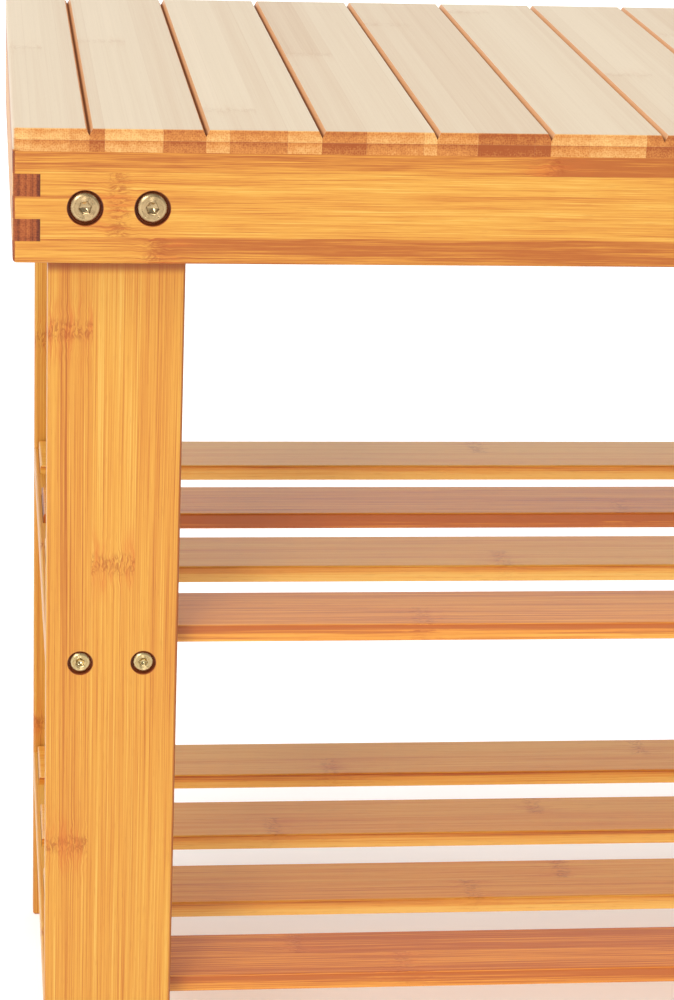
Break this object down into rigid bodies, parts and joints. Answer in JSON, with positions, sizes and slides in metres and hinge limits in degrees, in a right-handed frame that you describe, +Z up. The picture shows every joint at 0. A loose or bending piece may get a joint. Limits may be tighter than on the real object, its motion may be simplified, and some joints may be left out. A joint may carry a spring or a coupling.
{
  "type": "entryway bench",
  "caption": "Bamboo entryway bench: boarded seat with V grooves on a finger-jointed apron, flat bolted legs and slatted shoe shelves.",
  "frame": {"origin": "on the floor under the middle of the bench", "axes": "+X along the length, to the right seen from the front; +Y to the back; +Z up"},
  "size_m": [0.73, 0.28, 0.45],
  "materials": {
    "seat_bamboo": "pale bamboo, satin lacquer",
    "apron_bamboo": "golden bamboo, satin lacquer",
    "leg_bamboo": "golden bamboo, satin lacquer",
    "slat_bamboo": "golden bamboo, satin lacquer",
    "shelf_rail_bamboo": "golden bamboo, satin lacquer",
    "bolt_brass": "yellow passivated, satin",
    "insert_brass": "turned",
    "screw_steel": "zinc plated",
    "dowel_wood": "bare turned wood"
  },
  "bodies": {
    "root": {"seat_board_01": "seat_bamboo", "seat_board_02": "seat_bamboo", "seat_board_03": "seat_bamboo", "seat_board_04": "seat_bamboo", "seat_board_05": "seat_bamboo", "seat_board_06": "seat_bamboo", "seat_board_07": "seat_bamboo", "seat_board_08": "seat_bamboo", "seat_board_09": "seat_bamboo", "seat_board_10": "seat_bamboo", "seat_board_11": "seat_bamboo", "seat_board_12": "seat_bamboo", "seat_board_13": "seat_bamboo", "seat_board_14": "seat_bamboo", "seat_board_15": "seat_bamboo", "seat_board_16": "seat_bamboo", "seat_board_17": "seat_bamboo", "seat_board_18": "seat_bamboo", "apron_front_rail": "apron_bamboo", "apron_rear_rail": "apron_bamboo", "apron_left_rail": "apron_bamboo", "apron_right_rail": "apron_bamboo", "leg_front_left": "leg_bamboo", "leg_inserts_front_left": "insert_brass", "apron_bolts_front_left": "bolt_brass", "shelf_bolts_front_left": "bolt_brass", "leg_front_right": "leg_bamboo", "leg_inserts_front_right": "insert_brass", "apron_bolts_front_right": "bolt_brass", "shelf_bolts_front_right": "bolt_brass", "leg_rear_left": "leg_bamboo", "leg_inserts_rear_left": "insert_brass", "apron_bolts_rear_left": "bolt_brass", "shelf_bolts_rear_left": "bolt_brass", "leg_rear_right": "leg_bamboo", "leg_inserts_rear_right": "insert_brass", "apron_bolts_rear_right": "bolt_brass", "shelf_bolts_rear_right": "bolt_brass", "upper_shelf_slat_1": "slat_bamboo", "upper_shelf_slat_2": "slat_bamboo", "upper_shelf_slat_3": "slat_bamboo", "upper_shelf_slat_4": "slat_bamboo", "upper_shelf_left_rail": "shelf_rail_bamboo", "upper_shelf_right_rail": "shelf_rail_bamboo", "upper_shelf_slat_screws": "screw_steel", "lower_shelf_slat_1": "slat_bamboo", "lower_shelf_slat_2": "slat_bamboo", "lower_shelf_slat_3": "slat_bamboo", "lower_shelf_slat_4": "slat_bamboo", "lower_shelf_left_rail": "shelf_rail_bamboo", "lower_shelf_right_rail": "shelf_rail_bamboo", "lower_shelf_slat_screws": "screw_steel", "front_seat_dowels": "dowel_wood", "rear_seat_dowels": "dowel_wood"}
  },
  "joints": []
}
